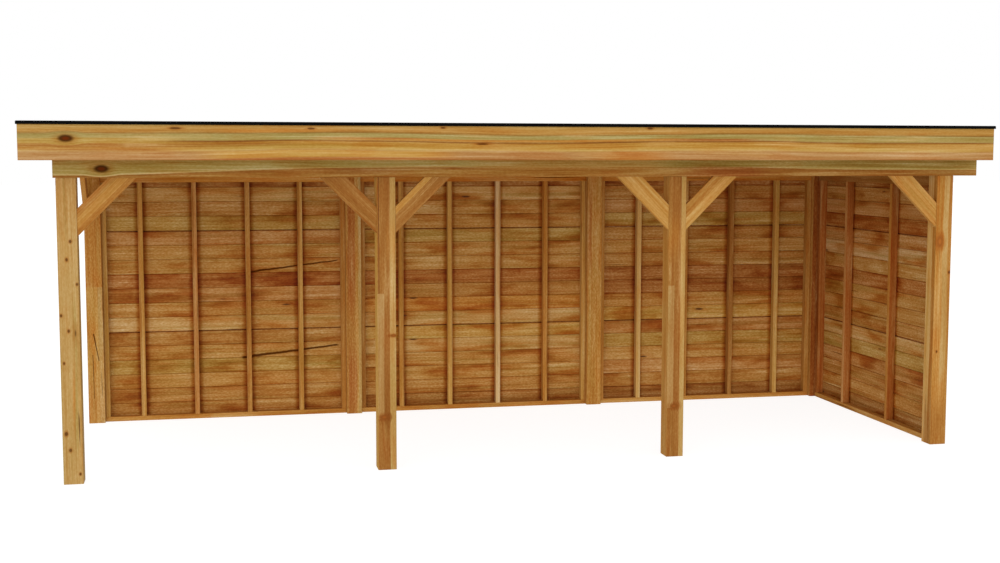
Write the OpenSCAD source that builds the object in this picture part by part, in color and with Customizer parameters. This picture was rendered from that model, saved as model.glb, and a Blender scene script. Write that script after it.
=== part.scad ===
// Freestanding timber veranda. Eight posts carry beams and a flat roof behind a
// fascia. The front has three open bays, the left side is open, and the back and
// the right side are boarded between the posts. The boards stand on the outside,
// so the studs and rails show from inside.
// The origin is at ground level, under the middle of the roof. +X runs along the
// front towards the boarded side, +Y runs to the back, and +Z is up.

/* [Frame] */
// Length over the outer faces of the end posts
frame_length = 7500; // [5400:10:10200]
// Depth over the outer faces of the front and rear posts
frame_depth = 2650; // [1900:10:4000]
// Side of the square posts
post_size = 150; // [100:5:200]
// Height of the posts, from the ground to the beams
post_height = 2375; // [1900:5:3000]
// Height of the beams
beam_height = 200; // [120:5:300]
// Thickness of the beams
beam_thickness = 70; // [45:5:100]
// Length of front and rear beam past the left posts
beam_overrun = 20; // [0:5:50]

/* [Braces] */
// Distance along the post and along the beam that a brace reaches
brace_reach = 450; // [350:10:700]
// Width of a brace across its face
brace_width = 150; // [80:5:200]
// Thickness of a brace
brace_thickness = 45; // [30:1:80]
// Distance from the outer face of the posts to the braces
brace_setback = 5; // [0:1:20]

/* [Walls] */
// Width of a stud along the wall
stud_width = 45; // [30:1:70]
// Depth of studs and rails through the wall
stud_depth = 70; // [45:1:75]
// Height of the bottom rails
bottom_rail_height = 45; // [30:1:100]
// Height of the top rails
top_rail_height = 90; // [45:1:140]
// Thickness of the cladding boards
cladding_thickness = 20; // [12:1:25]
// Distance from the ground to the cladding
cladding_ground_gap = 20; // [5:1:30]
// Distance from a post to the middle of the first stud, for each rear bay
back_stud_lead = [357, 406, 416]; // [200:1:500]
// Distance between studs, for each rear bay
back_stud_pitch = [502, 490, 502]; // [300:1:600]
// Distance from the front post to the middle of the first stud of the right wall
right_stud_lead = 796; // [300:1:900]
// Distance between the studs of the right wall
right_stud_pitch = 921; // [400:1:1200]

/* [Roof] */
// Distance from the front posts to the front of the fascia
front_overhang = 225; // [120:5:400]
// Distance from the rear posts to the back of the fascia
rear_overhang = 225; // [120:5:400]
// Distance from the end posts to the fascia at either side
side_overhang = 240; // [160:5:400]
// Width of a joist
joist_width = 45; // [35:1:70]
// Height of joists and noggings
joist_height = 145; // [95:5:245]
// Largest distance between joists
joist_max_pitch = 600; // [400:10:800]
// Largest distance between the noggings that carry the end joists
nogging_max_pitch = 750; // [400:10:900]
// Thickness of the roof deck
deck_thickness = 18; // [12:1:30]
// Thickness of the roof membrane
membrane_thickness = 3; // [1:0.5:6]
// Thickness of the fascia boards
fascia_thickness = 20; // [15:1:30]
// Height of the fascia below the joists
fascia_drop = 65; // [0:5:110]
// Height of the fascia above the deck
fascia_upstand = 45; // [20:1:100]

/* [Roof trim] */
// Distance that the trim stands out from the fascia
trim_lip = 10; // [6:1:20]
// Height of the trim's lip below the top of the membrane
trim_drop = 9; // [5:1:40]
// Height of the trim's bead above the membrane
trim_rise = 17; // [12:1:40]
// Width of the bead across the fascia
trim_bead_width = 22; // [20:1:40]
// Radius of the bead's upper edges
trim_bead_radius = 8; // [2:1:10]
// Width of the flange that lies on the roof edge
trim_flange_width = 45; // [40:1:80]
// Thickness of the flange
trim_flange_thickness = 3; // [1:0.5:5]

/* [Hidden] */
$fn = 32;

bay_count = 3;

// Plan of the roof, at the outer faces of the fascia, and inside the fascia
roof_length = frame_length + 2 * side_overhang;
roof_depth = front_overhang + frame_depth + rear_overhang;
roof_right = roof_length / 2;
roof_back = roof_depth / 2;
deck_right = roof_right - fascia_thickness;
deck_back = roof_back - fascia_thickness;

// Plan of the frame, at the outer faces of the posts
frame_right = frame_length / 2;
frame_left = -frame_right;
frame_front = front_overhang - roof_back;
frame_back = frame_front + frame_depth;
post_pitch = (frame_length - post_size) / bay_count;
bay_clear = post_pitch - post_size;
side_clear = frame_depth - 2 * post_size;

// Levels
joist_z = post_height + beam_height;
deck_z = joist_z + joist_height;
deck_top = deck_z + deck_thickness;
fascia_z = joist_z - fascia_drop;
fascia_top = deck_top + fascia_upstand;
membrane_top = fascia_top + membrane_thickness;
stud_top = post_height - top_rail_height;

// Inner faces of cladding and studs
back_board_y = frame_back - cladding_thickness;
back_stud_y = back_board_y - stud_depth;
right_board_x = frame_right - cladding_thickness;
right_stud_x = right_board_x - stud_depth;

// Spacing of joists and noggings
joist_gaps = ceil((2 * deck_right - joist_width) / joist_max_pitch);
joist_pitch = (2 * deck_right - joist_width) / joist_gaps;
nogging_span = frame_depth - beam_thickness;
nogging_gaps = ceil(nogging_span / nogging_max_pitch);

// Left face of a post, counted from 0 at the left, and of the bay after it
function post_x(column) = frame_left + column * post_pitch;
function bay_x(bay) = post_x(bay) + post_size;

// Middles of the studs between two posts: one against each post, the others at a
// pitch from the first post for as long as they clear the last
function stud_places(clear, lead, pitch) =
    let (
        first = stud_width / 2,
        last = clear - stud_width / 2,
        inner_count = floor((last - stud_width - lead) / pitch) + 1
    )
    concat([first], [for (i = [0:1:inner_count - 1]) lead + i * pitch], [last]);

// A box between two opposite corners
module block(low, high) {
    translate(low)
        cube(high - low);
}

module post(column, y) {
    color("peru")
        block([post_x(column), y, 0], [post_x(column) + post_size, y + post_size, post_height]);
}

module front_post(column) {
    post(column, frame_front);
}

module rear_post(column) {
    post(column, frame_back - post_size);
}

// A beam along the front or the back. It overruns the left posts a little, and
// on the right it runs out to the fascia, where it carries the end joist
module long_beam(y) {
    color("darkkhaki")
        block(
            [frame_left - beam_overrun, y, post_height],
            [deck_right, y + beam_thickness, joist_z]
        );
}

module front_beam() {
    long_beam(frame_front);
}

module rear_beam() {
    long_beam(frame_back - beam_thickness);
}

// A beam from front to back, between the long beams
module side_beam(x) {
    color("darkkhaki")
        block(
            [x, frame_front + beam_thickness, post_height],
            [x + beam_thickness, frame_back - beam_thickness, joist_z]
        );
}

module left_beam() {
    side_beam(frame_left);
}

module right_beam() {
    side_beam(frame_right - beam_thickness);
}

// Face of a brace at 45 degrees: the post is at x = 0 and the beam at y = 0
module brace_face() {
    leg = brace_width * sqrt(2);
    polygon([
        [0, -brace_reach],
        [brace_reach, 0],
        [brace_reach - leg, 0],
        [0, leg - brace_reach]
    ]);
}

// A brace in the front, from a post to the right (1) or to the left (-1)
module front_brace(x, direction) {
    color("goldenrod")
        translate([x, frame_front + brace_setback + brace_thickness, post_height])
            rotate([90, 0, 0])
                linear_extrude(brace_thickness)
                    scale([direction, 1])
                        brace_face();
}

// A brace in the open left side, from a post to the back (1) or to the front (-1)
module side_brace(y, direction) {
    color("goldenrod")
        translate([frame_left + brace_setback, y, post_height])
            rotate([90, 0, 90])
                linear_extrude(brace_thickness)
                    scale([direction, 1])
                        brace_face();
}

module bay_brace_left(bay) {
    front_brace(bay_x(bay), 1);
}

module bay_brace_right(bay) {
    front_brace(bay_x(bay) + bay_clear, -1);
}

module brace_side_front() {
    side_brace(frame_front + post_size, 1);
}

module brace_side_rear() {
    side_brace(frame_back - post_size, -1);
}

// One rail in each bay of the back wall
module back_rails(low, high) {
    color("tan")
        for (bay = [0:bay_count - 1])
            block(
                [bay_x(bay), back_stud_y, low],
                [bay_x(bay) + bay_clear, back_board_y, high]
            );
}

module back_bottom_rails() {
    back_rails(0, bottom_rail_height);
}

module back_top_rails() {
    back_rails(stud_top, post_height);
}

module back_studs(bay) {
    places = stud_places(bay_clear, back_stud_lead[bay], back_stud_pitch[bay]);
    color("burlywood")
        for (place = places)
            block(
                [bay_x(bay) + place - stud_width / 2, back_stud_y, bottom_rail_height],
                [bay_x(bay) + place + stud_width / 2, back_board_y, stud_top]
            );
}

module back_cladding(bay) {
    color("sienna")
        block(
            [bay_x(bay), back_board_y, cladding_ground_gap],
            [bay_x(bay) + bay_clear, frame_back, post_height]
        );
}

module right_rail(low, high) {
    color("tan")
        block(
            [right_stud_x, frame_front + post_size, low],
            [right_board_x, frame_back - post_size, high]
        );
}

module right_bottom_rail() {
    right_rail(0, bottom_rail_height);
}

module right_top_rail() {
    right_rail(stud_top, post_height);
}

module right_studs() {
    start = frame_front + post_size;
    color("burlywood")
        for (place = stud_places(side_clear, right_stud_lead, right_stud_pitch))
            block(
                [right_stud_x, start + place - stud_width / 2, bottom_rail_height],
                [right_board_x, start + place + stud_width / 2, stud_top]
            );
}

module right_cladding() {
    color("sienna")
        block(
            [right_board_x, frame_front + post_size, cladding_ground_gap],
            [frame_right, frame_back - post_size, post_height]
        );
}

module roof_joists() {
    color("burlywood")
        for (i = [0:joist_gaps])
            block(
                [i * joist_pitch - deck_right, -deck_back, joist_z],
                [i * joist_pitch - deck_right + joist_width, deck_back, deck_z]
            );
}

// Short timbers over the side beams, which carry the joist at either end
module roof_noggings() {
    color("burlywood")
        for (gap = [0, joist_gaps - 1], row = [0:nogging_gaps]) {
            x = gap * joist_pitch - deck_right + joist_width;
            y = frame_front + beam_thickness / 2 + row * nogging_span / nogging_gaps;
            block(
                [x, y - joist_width / 2, joist_z],
                [x + joist_pitch - joist_width, y + joist_width / 2, deck_z]
            );
        }
}

module roof_deck() {
    color("wheat")
        block([-deck_right, -deck_back, deck_z], [deck_right, deck_back, deck_top]);
}

// The membrane lies on the deck, runs up inside the fascia and covers its top
module roof_membrane() {
    inner_right = deck_right - membrane_thickness;
    inner_back = deck_back - membrane_thickness;
    color("dimgray")
        difference() {
            block([-roof_right, -roof_back, deck_top], [roof_right, roof_back, membrane_top]);
            block(
                [-inner_right, -inner_back, deck_top + membrane_thickness],
                [inner_right, inner_back, membrane_top + 1]
            );
            difference() {
                block(
                    [-roof_right - 1, -roof_back - 1, deck_top - 1],
                    [roof_right + 1, roof_back + 1, fascia_top]
                );
                block([-deck_right, -deck_back, deck_top - 2], [deck_right, deck_back, fascia_top + 1]);
            }
        }
}

// A fascia board along the front or the back covers the ends of the side boards
module long_fascia(y) {
    color("tan")
        block([-roof_right, y, fascia_z], [roof_right, y + fascia_thickness, fascia_top]);
}

module fascia_front() {
    long_fascia(-roof_back);
}

module fascia_rear() {
    long_fascia(deck_back);
}

module side_fascia(x) {
    color("tan")
        block([x, -deck_back, fascia_z], [x + fascia_thickness, deck_back, fascia_top]);
}

module fascia_left() {
    side_fascia(-roof_right);
}

module fascia_right() {
    side_fascia(deck_right);
}

// Section of the trim: x is measured outwards from the fascia, y up from the membrane
module trim_section() {
    inner = trim_lip - trim_bead_width;
    translate([0, -trim_drop])
        square([trim_lip, trim_drop + trim_bead_radius]);
    translate([inner, 0])
        square([trim_bead_width, trim_rise - trim_bead_radius]);
    translate([inner + trim_bead_radius, 0])
        square([trim_bead_width - 2 * trim_bead_radius, trim_rise]);
    for (x = [inner + trim_bead_radius, trim_lip - trim_bead_radius])
        translate([x, trim_rise - trim_bead_radius])
            circle(trim_bead_radius);
    translate([-trim_flange_width, 0])
        square([trim_flange_width, trim_flange_thickness]);
}

// A run of trim with mitred ends, on a side of this length that faces +Y
module trim_run(side_length) {
    half = side_length / 2;
    outer = half + trim_lip;
    inner = half - trim_flange_width;
    color([0.08, 0.08, 0.08])
        intersection() {
            translate([-outer, 0, 0])
                rotate([90, 0, 90])
                    linear_extrude(2 * outer)
                        trim_section();
            translate([0, 0, -trim_drop - 1])
                linear_extrude(trim_drop + trim_rise + 2)
                    polygon([
                        [-inner, -trim_flange_width],
                        [inner, -trim_flange_width],
                        [outer, trim_lip],
                        [-outer, trim_lip]
                    ]);
        }
}

// Places a run at a distance from the middle, turned to face the side
module trim_side(side_length, distance, angle) {
    rotate([0, 0, angle])
        translate([0, distance, membrane_top])
            trim_run(side_length);
}

module trim_front() {
    trim_side(roof_length, roof_back, 180);
}

module trim_rear() {
    trim_side(roof_length, roof_back, 0);
}

module trim_left() {
    trim_side(roof_depth, roof_right, 90);
}

module trim_right() {
    trim_side(roof_depth, roof_right, -90);
}

front_post(0);  // front_post_left
front_post(1);  // front_post_mid_left
front_post(2);  // front_post_mid_right
front_post(3);  // front_post_right
rear_post(0);  // rear_post_left
rear_post(1);  // rear_post_mid_left
rear_post(2);  // rear_post_mid_right
rear_post(3);  // rear_post_right
front_beam();
rear_beam();
left_beam();
right_beam();
bay_brace_left(0);  // brace_left_bay_left
bay_brace_right(0);  // brace_left_bay_right
bay_brace_left(1);  // brace_middle_bay_left
bay_brace_right(1);  // brace_middle_bay_right
bay_brace_left(2);  // brace_right_bay_left
bay_brace_right(2);  // brace_right_bay_right
brace_side_front();
brace_side_rear();
back_bottom_rails();
back_top_rails();
back_studs(0);  // back_studs_left
back_studs(1);  // back_studs_middle
back_studs(2);  // back_studs_right
back_cladding(0);  // back_cladding_left
back_cladding(1);  // back_cladding_middle
back_cladding(2);  // back_cladding_right
right_bottom_rail();
right_top_rail();
right_studs();
right_cladding();
roof_joists();
roof_noggings();
roof_deck();
roof_membrane();
fascia_front();
fascia_rear();
fascia_left();
fascia_right();
trim_front();
trim_rear();
trim_left();
trim_right();
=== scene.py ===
import math
import random

import bpy
from mathutils import Matrix, Vector, noise


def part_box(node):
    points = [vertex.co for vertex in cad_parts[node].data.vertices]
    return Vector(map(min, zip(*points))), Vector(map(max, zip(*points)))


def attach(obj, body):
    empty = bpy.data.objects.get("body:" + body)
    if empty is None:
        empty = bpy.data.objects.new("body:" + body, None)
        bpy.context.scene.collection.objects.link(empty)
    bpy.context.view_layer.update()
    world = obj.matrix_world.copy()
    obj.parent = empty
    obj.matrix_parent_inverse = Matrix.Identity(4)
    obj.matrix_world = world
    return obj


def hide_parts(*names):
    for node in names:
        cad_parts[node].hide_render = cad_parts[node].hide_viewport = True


# Looks of a freestanding veranda in impregnated pine, with a rubber roof and black trim.
# Lengths are in metres. Every timber is cut to the corners of its construction solid.

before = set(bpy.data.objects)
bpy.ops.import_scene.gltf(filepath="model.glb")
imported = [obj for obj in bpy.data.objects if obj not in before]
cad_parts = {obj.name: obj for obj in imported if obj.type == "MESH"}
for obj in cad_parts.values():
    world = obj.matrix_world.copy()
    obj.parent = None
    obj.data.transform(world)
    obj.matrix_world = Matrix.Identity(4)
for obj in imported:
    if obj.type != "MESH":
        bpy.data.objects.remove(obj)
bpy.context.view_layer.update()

along = Vector((1, 0, 0))
deep = Vector((0, 1, 0))
upward = Vector((0, 0, 1))
dice = random.Random(7)


# Node helpers

def paint(red, green, blue):
    # Screen colour, 0 to 255, to a linear colour
    channels = [c / 255 for c in (red, green, blue)]
    linear = [c / 12.92 if c < 0.04 else ((c + 0.055) / 1.055) ** 2.4 for c in channels]
    return (*linear, 1.0)


def plug(tree, socket, value):
    if isinstance(value, bpy.types.NodeSocket):
        tree.links.new(value, socket)
    else:
        socket.default_value = value


def addNode(tree, kind, links=None, **settings):
    node = tree.nodes.new(kind)
    for name, value in settings.items():
        setattr(node, name, value)
    for name, value in (links or {}).items():
        plug(tree, node.inputs[name], value)
    return node


def calc(tree, operation, first, second=0.0, third=0.0):
    return addNode(tree, "ShaderNodeMath", {0: first, 1: second, 2: third}, operation=operation).outputs[0]


def total(tree, first, *others):
    for other in others:
        first = calc(tree, "ADD", first, other)
    return first


def times(tree, first, *others):
    for other in others:
        first = calc(tree, "MULTIPLY", first, other)
    return first


def minus(tree, first, second):
    return calc(tree, "SUBTRACT", first, second)


def away(tree, x, y):
    # Distance from nought
    return calc(tree, "SQRT", total(tree, times(tree, x, x), times(tree, y, y)))


def around(tree, value, share):
    # A noise from 0 to 1 as a swing of this share about nought
    return calc(tree, "MULTIPLY_ADD", value, share, -share / 2)


def ease(tree, value, low, high, newLow=0.0, newHigh=1.0):
    links = {"Value": value, "From Min": low, "From Max": high, "To Min": newLow, "To Max": newHigh}
    return addNode(tree, "ShaderNodeMapRange", links, interpolation_type="SMOOTHSTEP").outputs[0]


def mixColour(tree, share, first, second, mode="MIX"):
    node = addNode(tree, "ShaderNodeMix", data_type="RGBA", blend_type=mode)
    plug(tree, node.inputs[0], share)
    plug(tree, node.inputs[6], first)
    plug(tree, node.inputs[7], second)
    return node.outputs[2]


def deepen(tree, colour, gamma):
    return addNode(tree, "ShaderNodeGamma", {"Color": colour, "Gamma": gamma}).outputs[0]


def colourRamp(tree, value, stops):
    node = addNode(tree, "ShaderNodeValToRGB", {"Fac": value})
    elements = node.color_ramp.elements
    while len(elements) < len(stops):
        elements.new(1.0)
    for element, (place, colour) in zip(elements, stops):
        element.position = place
        element.color = paint(*colour)
    return node.outputs["Color"]


def evenNoise(tree, vector, scale, detail=2.0):
    links = {"Vector": vector, "Scale": scale, "Detail": detail}
    return addNode(tree, "ShaderNodeTexNoise", links).outputs["Fac"]


def stretched(tree, vector, perLength, perWidth):
    scale = (perLength, perWidth, 1.0)
    return addNode(tree, "ShaderNodeMapping", {"Vector": vector, "Scale": scale}).outputs[0]


def grainNoise(tree, vector, scales, detail=2.0):
    # The scales are how often it changes in a metre along the grain and across it
    return evenNoise(tree, stretched(tree, vector, *scales), 1.0, detail)


def objectPlace(tree):
    return addNode(tree, "ShaderNodeTexCoord").outputs["Object"]


def grainPlace(tree):
    return addNode(tree, "ShaderNodeUVMap", uv_map="grain").outputs["UV"]


def attribute(tree, name, output):
    return addNode(tree, "ShaderNodeAttribute", attribute_name=name).outputs[output]


def newFinish(name):
    material = bpy.data.materials.new(name)
    material.use_nodes = True
    tree = material.node_tree
    return material, tree, tree.nodes["Principled BSDF"]


def cover(tree, shader, colour, roughness, height, strength, distance):
    # The bump stands this distance out of the surface
    bump = addNode(tree, "ShaderNodeBump", {"Height": height, "Strength": strength, "Distance": distance})
    plug(tree, shader.inputs["Base Color"], colour)
    plug(tree, shader.inputs["Roughness"], roughness)
    plug(tree, shader.inputs["Normal"], bump.outputs[0])


# Wood finishes. The grain map gives metres along a timber and across it from the middle of
# its face. Each timber also carries a seed and the stain it took up.

stains = {
    "brown": (178, 120, 52), "redBrown": (168, 96, 38), "darkBrown": (152, 94, 38),
    "tan": (190, 136, 64), "orange": (194, 124, 44), "olive": (182, 142, 64),
    "yellow": (200, 152, 70), "pink": (190, 130, 68), "pale": (204, 158, 90),
    "warm": (186, 126, 54), "cream": (210, 170, 114), "honey": (194, 144, 70),
    "russet": (158, 102, 42), "umber": (116, 64, 26), "rust": (150, 80, 26),
    "moss": (162, 128, 56), "straw": (214, 168, 96), "reed": (188, 147, 83),
    "fawn": (177, 132, 74),
}

tints = {
    "orangeCast": (0.96, 0.68, 0.4, 1), "oliveCast": (0.86, 0.98, 0.9, 1), "bleached": paint(206, 160, 92),
    "pinKnotCast": (0.85, 0.6, 0.35, 1), "pinKnot": paint(74, 38, 16), "knotCast": (0.8, 0.55, 0.3, 1),
    "split": paint(70, 26, 0),
}

plainPine = {
    # How far the grain wanders sideways
    "wander": 0.05, "wandering": (0.7, 4.0),
    # Swings in the depth of the stain, and the noise of each
    "broad": 0.6, "blotch": (1.1, 10.0), "streaks": 0.7, "streak": (0.9, 40.0),
    "lines": 0.5, "line": (1.6, 150.0), "fibres": 0.3, "fibre": (12.0, 700.0),
    "sawn": 0.45, "sawMark": (38.0, 95.0),
    # Shares of heartwood, bleached wood, sapwood and dull wood, the noise of each, and the
    # two levels of the noise between which it sets in
    "orange": 0.4, "heart": (2.4, 11.0), "pale": 0.25, "bleach": (1.7, 14.0),
    "olive": 0.35, "sap": (0.9, 22.0), "shade": 0.0, "dull": (1.9, 8.0),
    "levels": {"heart": (0.5, 0.66), "bleach": (0.55, 0.66), "sap": (0.5, 0.68), "dull": (0.5, 0.72)},
    # Pin knots, then the colours of the listed knots
    "knotCells": (1.6, 7.0), "knotSize": 0.05, "knotShare": 0.82, "knotEdge": 0.02,
    "pinRim": (1.6, 0.6), "pinHalo": (5, 1), "pinDepth": 0.9, "haloDepth": 0.6,
    "largeKnot": 0.015, "knotRim": (66, 26, 4), "knotHeart": (108, 44, 8), "smallKnot": (66, 26, 4),
    # Softness of the ends and sides of a let-in length, and of a streak of heartwood
    "crisp": (0.002, 0.001), "faded": (0.2, 0.005),
    # Level of the noise past which the wood has split, and the listed cracks
    "checks": 0.76, "checkEdge": 0.05, "check": (1.3, 70.0), "splitDepth": 0.9,
    "ragged": (14.0, 9.0), "raggedness": 0.014, "crackFace": (0.08, 0.075),
    "crackEdge": (1.2, 0.6), "crackStart": (-0.01, 0.02), "crackEnd": (1.02, 0.98),
    # How far lines, fibres and splits stand out, then how it shines
    "edgeDepth": 0.0, "stand": (0.6, 0.4, -2.0), "relief": 0.3, "reliefDepth": 0.002,
    "roughness": 0.62, "gloss": 0.16, "shine": 0.1, "mattness": 0.09,
}

# What a listed knot does: two distances, in its own radii, and the share at each
knotReach = {
    "parting": (3.0, 0.0, 0.0, 0.75), "cast": (2.2, 1.0, 0.0, 0.7), "heart": (0.6, 0.2, 0.0, 0.9),
    "smallRim": (1.25, 0.6, 0.0, 0.72), "largeRim": (1.25, 0.6, 0.0, 0.92),
}

# A board's grain map goes on round its edge, so its outer face lies past outerFrom
claddingPine = dict(
    plainPine, wander=0.03, broad=0.75, blotch=(1.9, 6.0), streaks=0.8, streak=(0.8, 34.0), lines=0.7,
    line=(1.3, 120.0), fibres=0.4, sawn=0.9, shade=0.45, heart=(1.7, 16.0), olive=0.6, orange=0.68,
    knotSize=0.062, knotShare=0.71, edgeDepth=0.06, outerDepth=1.0, edgeWidth=0.012, halfWidth=0.068,
    roundTo=0.157, outerFrom=(0.078, 0.085), outerEven=0.55, innerTo=(0.075, 0.07),
    # The last two give painted shade beside each stud on the inner face, and how far it reaches
    soil=0.75, studShadeReach=(0.075, 0.02))


def areaMask(tree, length, across, run, sides, softness):
    # A patch of a face, between two places along it and two across it
    edges = []
    for value, (start, end), soft in ((length, run, softness[0]), (across, sides, softness[1])):
        edges.append(ease(tree, value, start - soft, start + soft))
        edges.append(ease(tree, value, end + soft, end - soft))
    return times(tree, *edges)


def crackMask(tree, look, horizontal, vertical, crack):
    # A thin split from start to end that narrows as it goes
    (startX, startZ), (endX, endZ), width = crack
    runX, runZ = endX - startX, endZ - startZ
    run = math.hypot(runX, runZ)
    x = minus(tree, horizontal, startX)
    z = minus(tree, vertical, startZ)
    part = total(tree, times(tree, x, runX / run ** 2), times(tree, z, runZ / run ** 2))
    beside = minus(tree, times(tree, x, runZ / run), times(tree, z, runX / run))
    half = ease(tree, part, 0.0, 1.0, width / 2, width / 3)
    thin = ease(tree, calc(tree, "DIVIDE", calc(tree, "ABSOLUTE", beside), half), *look["crackEdge"])
    ends = times(tree, ease(tree, part, *look["crackStart"]), ease(tree, part, *look["crackEnd"]))
    return times(tree, thin, ends)


def grainOf(tree, look):
    # The grain wanders sideways and parts round the listed knots
    split = addNode(tree, "ShaderNodeSeparateXYZ", {"Vector": grainPlace(tree)})
    length, across = split.outputs["X"], split.outputs["Y"]
    seed = attribute(tree, "seed", "Fac")
    flat = addNode(tree, "ShaderNodeCombineXYZ", {"X": length, "Y": across, "Z": seed}).outputs[0]
    bent = total(tree, across, around(tree, grainNoise(tree, flat, look["wandering"], 1.0), look["wander"]))
    knots = []
    for atLength, atSide, halfLength, halfWidth in look.get("knots", []):
        x = calc(tree, "MULTIPLY_ADD", length, 1 / halfLength, -atLength / halfLength)
        y = calc(tree, "MULTIPLY_ADD", across, 1 / halfWidth, -atSide / halfWidth)
        # 1 at the rim
        distance = away(tree, x, y)
        near = ease(tree, distance, *knotReach["parting"])
        bent = minus(tree, bent, times(tree, minus(tree, across, atSide), near))
        knots.append((distance, halfWidth > look["largeKnot"]))
    vector = addNode(tree, "ShaderNodeCombineXYZ", {"X": length, "Y": bent, "Z": seed}).outputs[0]
    return {"length": length, "across": across, "flat": flat, "bent": bent, "vector": vector, "knots": knots}


def stainOf(tree, look, grain):
    colour = attribute(tree, "stain", "Color")
    if "bands" in look:
        place = calc(tree, "MULTIPLY_ADD", grain["bent"], 1 / look["width"], 0.5)
        for drift in look.get("drift", []):
            place = total(tree, place, ease(tree, grain["length"], *drift))
        colour = colourRamp(tree, place, look["bands"])
    for run, sides, stain in look.get("lengths", []):
        mask = areaMask(tree, grain["length"], grain["across"], run, sides, look["crisp"])
        colour = mixColour(tree, mask, colour, paint(*stains[stain]))
    for run, sides, stain, share in look.get("heartwood", []):
        mask = areaMask(tree, grain["length"], grain["bent"], run, sides, look["faded"])
        colour = mixColour(tree, times(tree, mask, share), colour, paint(*stains[stain]))
    return colour


def patches(tree, look, grain, name, detail):
    return ease(tree, grainNoise(tree, grain["vector"], look[name], detail), *look["levels"][name])


def tintPatches(tree, look, grain, colour, evenness):
    # Orange heartwood and olive sapwood come and go in long patches
    warm = times(tree, patches(tree, look, grain, "heart", 2.0), evenness, look["orange"])
    colour = mixColour(tree, warm, colour, tints["orangeCast"], "MULTIPLY")
    bleached = times(tree, patches(tree, look, grain, "bleach", 2.0), look["pale"])
    colour = mixColour(tree, bleached, colour, tints["bleached"])
    green = times(tree, patches(tree, look, grain, "sap", 1.0), look["olive"])
    return mixColour(tree, green, colour, tints["oliveCast"], "MULTIPLY")


def soilDepth(tree, look, grain, outside):
    # Stain gathers along both edges of a board, and most in the V joints outside
    across = grain["across"]
    outer = calc(tree, "ABSOLUTE", minus(tree, across, look["roundTo"]))
    nearer = calc(tree, "MINIMUM", calc(tree, "ABSOLUTE", across), outer)
    edge = ease(tree, nearer, look["halfWidth"] - look["edgeWidth"], look["halfWidth"])
    share = calc(tree, "MULTIPLY_ADD", outside, look["outerDepth"] - look["edgeDepth"], look["edgeDepth"])
    depths = [times(tree, edge, share)]
    if "studs" in look:
        # and painted shade on the inner face beside each stud
        lead, studPitch = look["studs"]
        beside = calc(tree, "PINGPONG", minus(tree, grain["length"], lead), studPitch / 2)
        inner = ease(tree, across, *look["innerTo"])
        depths.append(times(tree, ease(tree, beside, *look["studShadeReach"]), inner, look["soil"]))
    return depths


def addKnots(tree, look, grain, colour):
    # Gives the colour, and a mask of the listed knots
    cells = stretched(tree, grain["vector"], *look["knotCells"])
    knots = addNode(tree, "ShaderNodeTexVoronoi", {"Vector": cells, "Scale": 1.0, "Randomness": 0.9})
    pick = addNode(tree, "ShaderNodeSeparateColor", {"Color": knots.outputs["Color"]}).outputs[0]
    present = ease(tree, pick, look["knotShare"], look["knotShare"] + look["knotEdge"])
    dark, halo = [ease(tree, knots.outputs["Distance"], *[look["knotSize"] * part for part in look[reach]])
                  for reach in ("pinRim", "pinHalo")]
    halo = times(tree, halo, present, look["haloDepth"])
    colour = mixColour(tree, halo, colour, tints["pinKnotCast"], "MULTIPLY")
    colour = mixColour(tree, times(tree, dark, present, look["pinDepth"]), colour, tints["pinKnot"])

    # A warm stain round each listed one, a dark rim and, in a large one, a redder heart
    placed = 0.0
    for distance, isLarge in grain["knots"]:
        cast = ease(tree, distance, *knotReach["cast"])
        colour = mixColour(tree, cast, colour, tints["knotCast"], "MULTIPLY")
        rim = ease(tree, distance, *knotReach["largeRim" if isLarge else "smallRim"])
        colour = mixColour(tree, rim, colour, paint(*look["knotRim" if isLarge else "smallKnot"]))
        placed = calc(tree, "MAXIMUM", rim, placed)
        if isLarge:
            heart = ease(tree, distance, *knotReach["heart"])
            colour = mixColour(tree, heart, colour, paint(*look["knotHeart"]))
    return colour, placed


def splitMask(tree, look, grain):
    # Drying checks along the grain, and the listed cracks
    checks = grainNoise(tree, grain["vector"], look["check"], 1.0)
    splits = ease(tree, checks, look["checks"], look["checks"] + look["checkEdge"])
    if "cracks" in look:
        place = addNode(tree, "ShaderNodeSeparateXYZ", {"Vector": objectPlace(tree)})
        swing = around(tree, grainNoise(tree, grain["flat"], look["ragged"]), look["raggedness"])
        ragged = total(tree, place.outputs["Z"], swing)
        inner = ease(tree, grain["across"], *look["crackFace"])
        for crack in look["cracks"]:
            mask = times(tree, crackMask(tree, look, place.outputs["X"], ragged, crack), inner)
            splits = calc(tree, "MAXIMUM", splits, mask)
    return splits


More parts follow.
